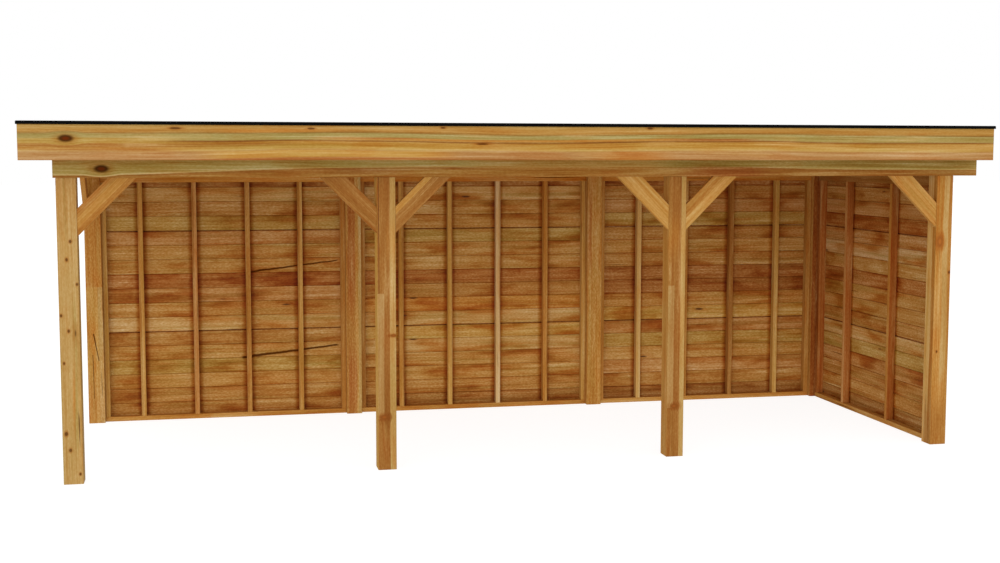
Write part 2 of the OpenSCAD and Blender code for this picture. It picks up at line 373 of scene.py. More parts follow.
def woodFinish(name, look):
    material, tree, shader = newFinish(name)
    grain = grainOf(tree, look)
    # The outer face of a board has weathered more even
    outside, evenness = None, 1.0
    if look["edgeDepth"]:
        outside = ease(tree, grain["across"], *look["outerFrom"])
        evenness = calc(tree, "MULTIPLY_ADD", outside, -look["outerEven"], 1.0)
    colour = tintPatches(tree, look, grain, stainOf(tree, look, grain), evenness)

    # Growth rings, from broad bands down to single fibres, deepen or bleach the stain
    lines = grainNoise(tree, grain["vector"], look["line"])
    fibres = grainNoise(tree, grain["vector"], look["fibre"], 1.0)
    depths = [around(tree, grainNoise(tree, grain["vector"], look["blotch"]), look["broad"]),
              around(tree, grainNoise(tree, grain["vector"], look["streak"]), look["streaks"]),
              around(tree, lines, look["lines"]),
              around(tree, fibres, look["fibres"]),
              around(tree, grainNoise(tree, grain["flat"], look["sawMark"]), look["sawn"])]
    if look["shade"]:
        depths.append(times(tree, patches(tree, look, grain, "dull", 3.0), evenness, look["shade"]))
    if look["edgeDepth"]:
        depths += soilDepth(tree, look, grain, outside)
    colour = deepen(tree, colour, total(tree, *depths, 1.0))

    colour, knots = addKnots(tree, look, grain, colour)
    splits = splitMask(tree, look, grain)
    colour = mixColour(tree, times(tree, splits, look["splitDepth"]), colour, tints["split"])
    relief = total(tree, *[times(tree, *part) for part in zip((lines, fibres, splits), look["stand"])])
    roughness = calc(tree, "MULTIPLY_ADD", lines, -look["gloss"], look["roughness"] + look["gloss"] / 2)
    cover(tree, shader, colour, roughness, relief, look["relief"], look["reliefDepth"])
    # Knots and splits don't shine
    matt = calc(tree, "MAXIMUM", splits, knots)
    shine = calc(tree, "MULTIPLY_ADD", matt, -look["mattness"], look["shine"])
    plug(tree, shader.inputs["Specular IOR Level"], shine)
    return material


sawnEnd = {
    "pithDepth": 0.16, "pithSwing": 0.1, "ringScale": 1400.0, "wobble": 5.0, "patch": 30.0,
    "ringContrast": 0.12, "patchContrast": 0.3, "relief": 0.15, "reliefDepth": 0.001,
    "roughness": 0.8, "shine": 0.08,
}


def endGrainFinish():
    # Growth rings round a pith that lies off the middle of each sawn end
    material, tree, shader = newFinish("sawnEndGrain")
    ends = grainPlace(tree)
    split = addNode(tree, "ShaderNodeSeparateXYZ", {"Vector": ends})
    pithSide = around(tree, calc(tree, "FRACT", attribute(tree, "seed", "Fac")), sawnEnd["pithSwing"])
    x = total(tree, split.outputs["X"], -sawnEnd["pithDepth"])
    y = total(tree, split.outputs["Y"], pithSide)
    uneven = evenNoise(tree, ends, sawnEnd["patch"], 3.0)
    ringPlace = times(tree, away(tree, x, y), sawnEnd["ringScale"])
    rings = calc(tree, "SINE", total(tree, ringPlace, times(tree, uneven, sawnEnd["wobble"])))
    gamma = calc(tree, "MULTIPLY_ADD", rings, sawnEnd["ringContrast"], 1.0)
    gamma = total(tree, gamma, times(tree, uneven, sawnEnd["patchContrast"]))
    colour = deepen(tree, attribute(tree, "stain", "Color"), gamma)
    cover(tree, shader, colour, sawnEnd["roughness"], rings, sawnEnd["relief"], sawnEnd["reliefDepth"])
    shader.inputs["Specular IOR Level"].default_value = sawnEnd["shine"]
    return material


print("finishes")
endGrain = endGrainFinish()
planedPine = woodFinish("planedPine", plainPine)
boardPine = woodFinish("claddingPine", claddingPine)


# Modelling helpers

def clearSelection():
    if bpy.context.object and bpy.context.object.mode != "OBJECT":
        bpy.ops.object.mode_set(mode="OBJECT")
    bpy.ops.object.select_all(action="DESELECT")


def blended(first, second, share):
    return tuple(a + (b - a) * share for a, b in zip(first, second))


def solidBoxes(nodeName):
    # Low and high corners of each separate solid of a construction node
    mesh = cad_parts[nodeName].data
    places = [tuple(round(c, 5) for c in v.co) for v in mesh.vertices]
    leader = {p: p for p in places}

    def find(place):
        while leader[place] != place:
            place = leader[place]
        return place

    for polygon in mesh.polygons:
        corners = [find(places[i]) for i in polygon.vertices]
        for corner in corners[1:]:
            leader[find(corner)] = find(corners[0])
    groups = {}
    for place in leader:
        groups.setdefault(find(place), []).append(place)
    boxes = []
    for group in groups.values():
        low = Vector([min(p[i] for p in group) for i in range(3)])
        high = Vector([max(p[i] for p in group) for i in range(3)])
        boxes.append((low, high))
    return sorted(boxes, key=lambda b: tuple(b[0]))


# All sawn timber: a polygon that faces along it this much is an end
timber = {
    "endFacing": 0.6,
    "arrisSegments": 2,
    "closeTo": 0.0001,
    "seeds": 60,
}


def mapGrain(piece, axis, face, stain):
    # Metres along the axis, and metres round the section from the middle of the face
    mesh = piece.data
    side = axis.cross(face)
    points = [v.co for v in mesh.vertices]
    start = min(p.dot(axis) for p in points)
    sides = [p.dot(side) for p in points]
    faces = [p.dot(face) for p in points]
    middle = (min(sides) + max(sides)) / 2
    halfSide = (max(sides) - min(sides)) / 2
    thickness = max(faces) - min(faces)
    grain = mesh.uv_layers.new(name="grain")
    mesh.materials.append(endGrain)
    for polygon in mesh.polygons:
        facing = polygon.normal.dot(face)
        sideways = polygon.normal.dot(side)
        isEnd = abs(polygon.normal.dot(axis)) > timber["endFacing"]
        polygon.material_index = 1 if isEnd else 0
        for loop in polygon.loop_indices:
            point = mesh.vertices[mesh.loops[loop].vertex_index].co
            length = point.dot(axis) - start
            across = point.dot(side) - middle
            depth = max(faces) - point.dot(face)
            if isEnd:
                place = (depth, across)
            elif facing >= abs(sideways):
                place = (length, across)
            elif -facing >= abs(sideways):
                place = (length, 2 * halfSide + thickness - across)
            elif sideways > 0:
                place = (length, halfSide + depth)
            else:
                place = (length, -halfSide - depth)
            grain.data[loop].uv = place
    seed = mesh.attributes.new("seed", "FLOAT", "POINT")
    seed.data.foreach_set("value", [dice.uniform(0, timber["seeds"])] * len(mesh.vertices))
    tint = mesh.attributes.new("stain", "FLOAT_COLOR", "POINT")
    tint.data.foreach_set("color", list(paint(*stain)) * len(mesh.vertices))


def addTimber(low, high, axis, face, arris, material, stain, chamfer=0.0):
    # A sawn length with eased edges, cut to the box
    clearSelection()
    bpy.ops.mesh.primitive_cube_add(size=1, location=(low + high) / 2, scale=high - low)
    piece = bpy.context.object
    bpy.ops.object.transform_apply(location=True, rotation=True, scale=True)
    if chamfer:
        # Both long edges away from the face, found by their place
        back = min(v.co.dot(face) for v in piece.data.vertices)
        for edge in piece.data.edges:
            ends = [piece.data.vertices[i].co for i in edge.vertices]
            atBack = all(abs(end.dot(face) - back) < timber["closeTo"] for end in ends)
            edge.select = atBack and abs(ends[0].z - ends[1].z) < timber["closeTo"]
        bpy.context.tool_settings.mesh_select_mode = (False, True, False)
        bpy.ops.object.mode_set(mode="EDIT")
        bpy.ops.mesh.bevel(offset=chamfer, segments=1, affect="EDGES")
        bpy.ops.object.mode_set(mode="OBJECT")
    bpy.ops.object.mode_set(mode="EDIT")
    bpy.ops.mesh.select_all(action="SELECT")
    bpy.ops.mesh.bevel(offset=arris, segments=timber["arrisSegments"], affect="EDGES")
    bpy.ops.object.mode_set(mode="OBJECT")
    piece.data.materials.append(material)
    mapGrain(piece, axis, face, stain)
    return piece


def camelName(node):
    words = node.split("_")
    return words[0] + "".join(word.capitalize() for word in words[1:])


def pineFor(node, details):
    # The plain finish, or one with the details of this node
    if node not in details:
        return planedPine
    return woodFinish(camelName(node) + "Pine", dict(plainPine, **details[node]))


def handOver(pieces, node, name=None):
    # Joins the lengths of a node to one piece that stands for it
    clearSelection()
    for piece in pieces:
        piece.select_set(True)
    bpy.context.view_layer.objects.active = pieces[0]
    if len(pieces) > 1:
        bpy.ops.object.join()
    piece = bpy.context.object
    piece.name = name or camelName(node)
    piece.data.name = piece.name
    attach(piece, "root")
    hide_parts(node)


def addRuns(settings, material, frontMaterial):
    # A long timber on each side of the roof: the way it runs, and the way it faces
    sides = {"front": (along, -deep), "rear": (along, deep), "left": (deep, -along), "right": (deep, along)}
    for side, (axis, face) in sides.items():
        node = settings["node"].format(side)
        low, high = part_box(node)
        chosen = frontMaterial if side == "front" else material
        run = addTimber(low, high, axis, face, settings["arris"], chosen, stains[settings["stain"]])
        handOver([run], node)


# Posts, some laminated from strips. Two in the middle of the front are jointed in length too

posts = {
    "arris": 0.004,
    "stains": {"front_post_left": "reed", "front_post_mid_left": "russet", "front_post_mid_right": "russet",
               "front_post_right": "warm", "rear_post_left": "warm", "rear_post_mid_left": "brown",
               "rear_post_mid_right": "tan", "rear_post_right": "brown"},
    "details": {
        "front_post_left": {
            "olive": 0.8, "orange": 0.2,
            "knots": [(1.89, 0.022, 0.014, 0.011), (1.75, -0.008, 0.014, 0.01), (1.56, 0.064, 0.012, 0.009),
                      (1.32, -0.06, 0.013, 0.01), (1.2, -0.007, 0.014, 0.01), (0.95, -0.047, 0.012, 0.008),
                      (0.4, -0.045, 0.017, 0.013), (0.27, -0.017, 0.015, 0.011), (0.08, 0.052, 0.012, 0.009)],
            "heartwood": [((0.5, 0.85), (0.01, 0.03), "orange", 0.6),
                          ((2.0, 2.8), (-0.1, 0.1), "brown", 0.5)],
        },
        "front_post_mid_left": {
            "streaks": 0.4,
            "lengths": [((0, 2.4), (0.025, 0.275), "reed"), ((0, 1.44), (-0.1, -0.02), "fawn"),
                        ((0, 0.42), (-0.1, 0.024), "russet"), ((1.44, 2.4), (-0.064, -0.058), "umber"),
                        # The yellow length on the left side face is painted light
                        ((0, 2.4), (-0.23, -0.075), "yellow"), ((0, 2.4), (0.32, 0.4), "fawn")],
            "heartwood": [((0.4, 1.35), (-0.018, 0.024), "darkBrown", 0.6),
                          ((1.8, 1.95), (0.0, 0.07), "orange", 0.6),
                          ((1.3, 2.4), (0.005, 0.024), "darkBrown", 0.6)],
            "knotRim": (138, 78, 30), "knotHeart": (156, 88, 34),
            "knots": [(0.435, -0.025, 0.022, 0.04), (1.1, 0.055, 0.012, 0.03)],
        },
        "front_post_mid_right": {
            "streaks": 0.4,
            "lengths": [((0, 2.4), (0.033, 0.267), "reed"), ((0, 1.46), (-0.1, -0.02), "fawn"),
                        # The tan length on the left side face is painted light
                        ((0, 0.42), (-0.1, 0.032), "russet"), ((0, 2.4), (-0.23, -0.075), "tan"),
                        ((0, 2.4), (0.32, 0.4), "fawn")],
            "heartwood": [((0.4, 1.4), (-0.018, 0.034), "darkBrown", 0.4),
                          ((1.8, 1.95), (-0.075, 0.07), "orange", 0.5),
                          ((1.4, 2.4), (0.01, 0.032), "darkBrown", 0.5)],
            "knotRim": (138, 78, 30), "knotHeart": (156, 88, 34),
            "knots": [(0.435, -0.01, 0.022, 0.036)],
        },
        "front_post_right": {
            "knotRim": (158, 92, 38), "knotHeart": (182, 108, 44),
            # The straw length on the left side face is painted light
            "lengths": [((0, 2.4), (-0.23, -0.135), "straw")],
            "heartwood": [((1.1, 1.6), (-0.05, -0.02), "pale", 0.6),
                          ((-1, 0.35), (-0.2, 0.2), "russet", 0.55),
                          ((0.6, 2.4), (-0.01, 0.042), "reed", 0.8),
                          ((0.4, 2.6), (0.047, 0.062), "russet", 0.5)],
            "knots": [(1.8, -0.035, 0.055, 0.032), (1.53, 0.062, 0.014, 0.01), (0.83, -0.036, 0.012, 0.008)],
        },
        "rear_post_left": {
            "sawn": 0.9,
            "lengths": [((0, 1.3), (-0.3, 0.4), "honey"), ((0, 1.3), (0.03, 0.27), "reed")],
            "heartwood": [((0.0, 0.4), (-0.07, 0.07), "pink", 0.5),
                          ((0.5, 0.95), (-0.03, 0.0), "orange", 0.5),
                          ((0.3, 0.7), (0.0, 0.3), "tan", 0.6)],
            "cracks": [((-3.69, 0.86), (-3.645, 0.6), 0.012), ((-3.7, 0.66), (-3.695, 0.24), 0.007)],
        },
        "rear_post_mid_left": {
            "sawn": 0.9,
            "lengths": [((0, 2.4), (0.015, 0.285), "tan"), ((0, 2.4), (0.045, 0.255), "reed")],
            "heartwood": [((0.0, 0.6), (-0.06, 0.02), "redBrown", 0.8),
                          ((1.1, 2.2), (-0.06, 0.015), "redBrown", 0.8)],
        },
        "rear_post_mid_right": {
            "sawn": 0.9,
            "heartwood": [((1.4, 2.2), (-0.07, -0.03), "redBrown", 0.6),
                          ((0.2, 1.0), (0.02, 0.07), "orange", 0.4)],
        },
        "rear_post_right": {
            "sawn": 0.9,
            # The rust and umber stains are painted shade in the corner by the right wall
            "lengths": [((0, 2.4), (-0.078, 0.28), "rust")],
            "heartwood": [((-1, 3), (-0.035, 0.26), "umber", 0.5)],
        },
    },
}

print("posts")
for node, stain in posts["stains"].items():
    low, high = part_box(node)
    material = pineFor(node, posts["details"])
    piece = addTimber(low, high, upward, -deep, posts["arris"], material, stains[stain])
    handOver([piece], node)


# Beams: olive sapwood over orange heartwood, with one large knot near the front left end

beams = {
    "node": "{}_beam",
    "arris": 0.003,
    "stain": "olive",
    # The olive upper bands are made lighter, painted light where the fascia's overhang shades the beam
    "bands": [(0.0, (150, 96, 44)), (0.05, (182, 136, 66)), (0.2, (186, 148, 74)), (0.42, (180, 148, 72)),
              (0.58, (178, 150, 78)), (0.64, (200, 166, 96)), (0.67, (160, 104, 42)), (0.8, (174, 122, 52)),
              (1.0, (166, 112, 46))],
    "drift": [(0.3, 2.4, -0.24, 0.04), (5.2, 6.8, 0.0, -0.14)],
    "heartwood": [((3.3, 4.9), (-0.04, 0.04), "tan", 0.6), ((4.9, 7.7), (-0.04, 0.03), "moss", 0.85),
                  ((4.9, 7.7), (0.06, 0.11), "russet", 0.5), ((5.1, 5.75), (0.02, 0.11), "rust", 0.85),
                  ((2.1, 2.65), (0.03, 0.08), "russet", 0.8), ((2.2, 2.35), (0.03, 0.045), "rust", 0.8),
                  ((2.35, 2.55), (0.04, 0.055), "rust", 0.8)],
    "knots": [(0.36, 0.031, 0.06, 0.031)],
}

print("beams")
beamLook = dict(plainPine, width=0.2, wander=0.03, broad=0.5, streaks=1.0, lines=0.9, olive=0.2, orange=0.4,
                checks=0.9, knotShare=1.0, bands=beams["bands"], drift=beams["drift"])
beamPine = woodFinish("beamPine", beamLook)
frontBeamLook = dict(beamLook, knots=beams["knots"], heartwood=beams["heartwood"])
addRuns(beams, beamPine, woodFinish("frontBeamPine", frontBeamLook))


# Braces: a length at 45 degrees, cut off plumb at the post and level at the beam

braces = {
    "arris": 0.003,
    "width": 0.15,
    "stripStain": "tan",
    "pieces": {
        "brace_left_bay_left": (along, -deep, "brown", (-0.025, 0.035)),
        "brace_left_bay_right": (-along, -deep, "russet", None),
        "brace_middle_bay_left": (along, -deep, "russet", (-0.08, -0.03)),
        "brace_middle_bay_right": (-along, -deep, "tan", None),
        "brace_right_bay_left": (along, -deep, "brown", (0.0, 0.08)),
        "brace_right_bay_right": (-along, -deep, "tan", (-0.08, -0.02)),
        "brace_side_front": (deep, -along, "tan", None),
        "brace_side_rear": (-deep, -along, "warm", None),
    },
}


def addBrace(node, outward, face, stain, strip):
    # Some braces are laminated too, with a strip of another stain
    low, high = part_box(node)
    middle = (low + high) / 2
    reach = (high - low).z
    thickness = min(high.x - low.x, high.y - low.y)
    # The corner between post and beam
    corner = middle - outward * reach / 2
    corner.z = high.z
    lengthwise = (outward + upward).normalized()
    crosswise = (outward - upward).normalized()
    centre = corner + crosswise * (reach / math.sqrt(2) - braces["width"] / 2)
    turn = Matrix((lengthwise, crosswise, lengthwise.cross(crosswise))).transposed()
    clearSelection()
    bpy.ops.mesh.primitive_cube_add(size=1, location=centre, rotation=turn.to_euler(),
                                    scale=(3 * reach, braces["width"], thickness))
    piece = bpy.context.object
    bpy.ops.object.transform_apply(location=True, rotation=True, scale=True)
    bpy.ops.object.mode_set(mode="EDIT")
    for cut in (-outward, upward):
        bpy.ops.mesh.select_all(action="SELECT")
        bpy.ops.mesh.bisect(plane_co=corner, plane_no=cut, use_fill=True, clear_outer=True)
    bpy.ops.mesh.select_all(action="SELECT")
    bpy.ops.mesh.normals_make_consistent(inside=False)
    bpy.ops.mesh.bevel(offset=braces["arris"], segments=timber["arrisSegments"], affect="EDGES")
    bpy.ops.object.mode_set(mode="OBJECT")
    material = bracePine
    if strip:
        look = dict(braceLook, lengths=[((-1, 2), strip, braces["stripStain"])])
        material = woodFinish(camelName(node) + "Pine", look)
    piece.data.materials.append(material)
    mapGrain(piece, lengthwise, face, stains[stain])
    return piece


print("braces")
braceLook = dict(plainPine, streaks=0.6, broad=0.4, checks=0.9)
bracePine = woodFinish("bracePine", braceLook)
for node, (outward, face, stain, strip) in braces["pieces"].items():
    handOver([addBrace(node, outward, face, stain, strip)], node)


# Wall framing: rails top and bottom, studs between them

framing = {
    "arris": 0.002,
    "rows": {
        "back_bottom_rails": (along, -deep, "warm warm warm"),
        "back_top_rails": (along, -deep, "orange orange orange"),
        "right_bottom_rail": (deep, -along, "tan"),
        "right_top_rail": (deep, -along, "russet"),
        "back_studs_left": (upward, -deep, "honey tan pink brown tan warm"),
        "back_studs_middle": (upward, -deep, "brown tan honey cream warm honey"),
        "back_studs_right": (upward, -deep, "warm pale brown russet honey brown"),
        # The rear stud's rust stain is painted shade in the corner by the rear post
        "right_studs": (upward, -along, "tan warm pink rust"),
    },
    "details": {
        # The darker strips are painted shade: the left edge of the studs' front faces in the left bay, the
        # right edge in the middle bay, and on the right wall the side that faces the front
        "back_studs_left": {"heartwood": [((-1, 3), (-0.03, -0.01), "russet", 0.6)]},
        "back_studs_middle": {"heartwood": [((-1, 3), (0.013, 0.03), "russet", 0.75)]},
        "right_studs": {"lengths": [((0, 2.4), (0.0226, 0.1), "redBrown")]},
    },
}

print("wall framing")
for node, (axis, face, row) in framing["rows"].items():
    # Its solids are lengths of one timber, stained in turn
    material = pineFor(node, framing["details"])
    lengths = [addTimber(low, high, axis, face, framing["arris"], material, stains[stain])
               for (low, high), stain in zip(solidBoxes(node), row.split())]
    handOver(lengths, node)


# Cladding: seventeen tongued boards a wall, named from the ground up. Two joints have opened

cladding = {
    "joint": 0.0005,
    "openJoint": 0.009,
    "openAbove": (5, 12),
    "arris": 0.0006,
    "chamfer": 0.005,
    "tongue": 0.006,
    "tongueArris": 0.0005,
    "tongueLap": 0.003,
    "average": (178, 124, 62),
    "evened": 0.35,
    # The top board of each wall takes a dark stain, painted shadow under the top rail
    "walls": {
        "back_cladding_left": (
            along, -deep, "brown brown tan olive tan brown pale warm pink "
                          "redBrown tan tan pink olive brown pale darkBrown"),
        "back_cladding_middle": (
            along, -deep, "russet brown tan tan pale yellow pale orange brown "
                          "redBrown tan tan olive tan tan pale darkBrown"),
        "back_cladding_right": (
            along, -deep, "darkBrown brown pink tan olive pink yellow warm rust "
                          "rust brown tan brown olive pink brown rust"),
        "right_cladding": (
            deep, -along, "russet warm brown pink olive pale brown tan tan "
                          "redBrown tan cream pink redBrown pink brown darkBrown"),
    },
    "cracks": {"back_cladding_left": [((-2.22, 1.412), (-1.37, 1.512), 0.02),
                                      ((-2.31, 0.573), (-1.37, 0.675), 0.028)]},
}

# Screws hold each board to each stud, with their heads on the outer face
screws = {
    "radius": 0.0045,
    "height": 0.003,
    "corners": 8,
    "steps": ((0.25, 0.25), (0.3, 0), (0.05, -0.6)),
    "colour": (150, 146, 138),
    "dull": (112, 106, 96),
    "patch": 300.0,
    "roughness": (0.3, 0.7, 0.3, 0.5),
}


def addTongue(low, high, axis, face, material, joint):
    # Fills an open joint behind its shadow, from the middle of the board's top edge
    tongueLow = Vector(low)
    tongueHigh = Vector(high)
    tongueLow.z = high.z - cladding["tongueLap"]
    tongueHigh.z = high.z + joint + cladding["tongueLap"]
    for i in (0, 1):
        if abs(face[i]) > 0:
            middle = low[i] + (high - low)[i] * 0.5
            tongueLow[i] = middle - cladding["tongue"] / 2
            tongueHigh[i] = middle + cladding["tongue"] / 2
    # Its dark umber stain is painted shade inside the joint
    return addTimber(tongueLow, tongueHigh, axis, face, cladding["tongueArris"], material, stains["umber"])


def screwFinish():
    material, tree, shader = newFinish("screwSteel")
    dull = evenNoise(tree, objectPlace(tree), screws["patch"])
    colour = mixColour(tree, dull, paint(*screws["colour"]), paint(*screws["dull"]))
    plug(tree, shader.inputs["Base Color"], colour)
    plug(tree, shader.inputs["Roughness"], ease(tree, dull, *screws["roughness"]))
    shader.inputs["Metallic"].default_value = 1.0
    return material


def addScrew():
    # One pan head with a round drive in it, modelled at the origin with its top facing up
    clearSelection()
    bpy.ops.mesh.primitive_cylinder_add(vertices=screws["corners"], radius=screws["radius"],
                                        depth=screws["height"])
    screw = bpy.context.object
    for polygon in screw.data.polygons:
        polygon.select = polygon.normal.z > 0.9
    bpy.context.tool_settings.mesh_select_mode = (False, False, True)
    bpy.ops.object.mode_set(mode="EDIT")
    for inset, rise in screws["steps"]:
        bpy.ops.mesh.inset(thickness=screws["radius"] * inset, depth=screws["height"] * rise)
    bpy.ops.object.mode_set(mode="OBJECT")
    screw.data.materials.append(screwFinish())
    return screw


def placeScrew(master, place, outward):
    screw = master.copy()
    screw.data = master.data.copy()
    bpy.context.collection.objects.link(screw)
    turn = upward.rotation_difference(outward).to_matrix().to_4x4()
    screw.data.transform(Matrix.Translation(place) @ turn)
    return screw


def addWall(node, axis, face, row):
    # The outer face of a board has a chamfer along both edges, so two make a V joint
    low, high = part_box(node)
    studs = [(start + end).dot(axis) / 2 for start, end in solidBoxes(node.replace("cladding", "studs"))]
    # The studs' places set where the painted shade beside them falls
    look = dict(claddingPine, studs=(studs[1] - low.dot(axis), studs[2] - studs[1]))
    if node in cladding["cracks"]:
        look["cracks"] = cladding["cracks"][node]
    material = woodFinish(camelName(node) + "Pine", look)
    pitch = (high.z - low.z) / len(row)
    pieces = []
    for i, stain in enumerate(row):
        joint = cladding["openJoint"] if i in cladding["openAbove"] else cladding["joint"]
        joint = 0 if i == len(row) - 1 else joint
        boardLow = Vector((low.x, low.y, low.z + i * pitch))
        boardHigh = Vector((high.x, high.y, low.z + (i + 1) * pitch - joint))
        colour = blended(stains[stain], cladding["average"], cladding["evened"])
        pieces.append(addTimber(boardLow, boardHigh, axis, face, cladding["arris"], material, colour,
                                chamfer=cladding["chamfer"]))
        if joint:
            pieces.append(addTongue(boardLow, boardHigh, axis, face, material, joint))
        for stud in studs:
            place = axis * stud + Vector((0, 0, (boardLow.z + boardHigh.z) / 2))
            outerFace = max((low - place).dot(-face), (high - place).dot(-face))
            pieces.append(placeScrew(masterScrew, place - face * outerFace, -face))
    handOver(pieces, node)


print("cladding")
masterScrew = addScrew()
for node, (axis, face, row) in cladding["walls"].items():
    addWall(node, axis, face, row.split())
clearSelection()
masterScrew.select_set(True)
bpy.ops.object.delete()


# Roof framing and boards, seen from below

roof = {
    "arris": 0.002,
    "boardWidth": 0.137,
    "joint": 0.002,
    "endJoint": 0.001,
    "breaks": (4, 9),
    "stagger": 3,
    "framingStains": "tan warm honey tan yellow warm",
    "boardStains": "tan honey warm olive yellow pink",
}


def addRoofFraming(node, axis):
    lengths = [addTimber(low, high, axis, -upward, roof["arris"], planedPine,
                         stains[dice.choice(roof["framingStains"].split())])
               for low, high in solidBoxes(node)]
    handOver(lengths, node)


print("roof framing")
addRoofFraming("roof_joists", deep)
addRoofFraming("roof_noggings", along)

print("roof boards")
joistMiddles = [(low.x + high.x) / 2 for low, high in solidBoxes("roof_joists")]
low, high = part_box("roof_deck")
rows = round((high.y - low.y) / roof["boardWidth"])
pitch = (high.y - low.y) / rows
deck = []
for i in range(rows):
    # End joints fall on a joist, and never on the same one as the row before
    first = roof["breaks"][0] + i % roof["stagger"]
    second = roof["breaks"][1] + (i + 1) % roof["stagger"]
    breaks = [low.x, joistMiddles[first], joistMiddles[second], high.x]
    gap = 0 if i == rows - 1 else roof["joint"]
    for start, end in zip(breaks, breaks[1:]):
        endGap = 0 if end == high.x else roof["endJoint"]
        boardLow = Vector((start, low.y + i * pitch, low.z))
        boardHigh = Vector((end - endGap, low.y + (i + 1) * pitch - gap, high.z))
        stain = stains[dice.choice(roof["boardStains"].split())]
        deck.append(addTimber(boardLow, boardHigh, along, -upward, roof["arris"], boardPine, stain))
handOver(deck, "roof_deck", "roofDeckBoards")


# Fascia: four bands of growth, olive, orange and pink, that run the length of the boards

fascia = {
    "node": "fascia_{}",
    "arris": 0.002,
    "stain": "tan",
    "bands": [(0.0, (184, 142, 70)), (0.12, (188, 140, 68)), (0.2, (182, 130, 58)), (0.25, (152, 112, 50)),
              (0.28, (164, 142, 78)), (0.43, (176, 152, 86)), (0.465, (140, 88, 36)), (0.51, (182, 130, 52)),
              (0.65, (188, 140, 60)), (0.7, (200, 162, 90)), (0.75, (184, 136, 80)), (0.93, (188, 140, 86)),
              (1.0, (164, 106, 48))],
    "heartwood": [((-1, 1.0), (0.008, 0.052), "brown", 0.75), ((-1, 2.0), (0.006, 0.035), "russet", 0.55),
                  ((-1, 1.1), (-0.03, 0.006), "olive", 0.9), ((6.9, 8.2), (0.005, 0.045), "pale", 0.45),
                  ((6.6, 8.3), (-0.055, -0.022), "moss", 0.35),
                  ((0.1, 1.1), (0.05, 0.058), "redBrown", 0.7), ((1.4, 3.2), (0.066, 0.12), "yellow", 0.8),
                  ((1.2, 3.1), (0.122, 0.137), "redBrown", 0.75),
                  ((2.3, 5.2), (-0.032, -0.014), "orange", 0.75),
                  ((2.2, 3.0), (-0.034, -0.024), "redBrown", 0.7),
                  ((1.3, 2.4), (0.02, 0.05), "olive", 0.6), ((4.5, 5.0), (0.066, 0.137), "orange", 0.6),
                  ((4.7, 4.8), (0.075, 0.1), "redBrown", 0.6),
                  ((5.1, 5.8), (-0.03, -0.012), "redBrown", 0.85),
                  ((1.5, 2.3), (-0.095, -0.07), "orange", 0.6)],
    "knots": [(0.344, -0.026, 0.06, 0.029), (1.14, -0.105, 0.045, 0.009), (2.16, -0.107, 0.03, 0.008),
              (3.19, -0.117, 0.02, 0.007), (3.505, 0.009, 0.05, 0.007), (4.894, -0.12, 0.025, 0.008)],
}

print("fascia")
fasciaLook = dict(plainPine, width=0.273, sawn=0.3, broad=0.35, streaks=0.8, lines=0.8, olive=0.2, orange=0.3,
                  checks=0.9, knotShare=1.0, bands=fascia["bands"])
fasciaPine = woodFinish("fasciaPine", dict(fasciaLook, knotShare=0.9))
frontFasciaLook = dict(fasciaLook, knots=fascia["knots"], heartwood=fascia["heartwood"])
addRuns(fascia, fasciaPine, woodFinish("frontFasciaPine", frontFasciaLook))


# Roof membrane: one rubber sheet, turned up inside the fascia and over its top

membrane = {
    "thickness": 0.0025,
    "cells": (120, 46),
    "ripple": 0.0012,
    "rippleScale": (1.1, 2.3, 3.0),
    "flatEdge": 0.2,
    "smoothBelow": 35,
    "rubber": {
        "colour": (46, 47, 49), "dust": (92, 91, 88), "patch": (1.3, 5.0), "dusty": (0.45, 0.75, 0.0, 0.35),
        "texture": (260.0, 2.0), "relief": 0.25, "reliefDepth": 0.001,
        "roughness": (0.3, 0.8, 0.55, 0.8), "shine": 0.5,
    },
}


def dustedFinish(name, look):
    # One colour under patches of dust, with a fine texture to it
    material, tree, shader = newFinish(name)
    place = objectPlace(tree)
    dust = evenNoise(tree, place, *look["patch"])
    texture = evenNoise(tree, place, *look["texture"])
    dusty = ease(tree, dust, *look["dusty"])
    colour = mixColour(tree, dusty, paint(*look["colour"]), paint(*look["dust"]))
    roughness = ease(tree, dust, *look["roughness"])
    cover(tree, shader, colour, roughness, texture, look["relief"], look["reliefDepth"])
    shader.inputs["Specular IOR Level"].default_value = look["shine"]
    return material


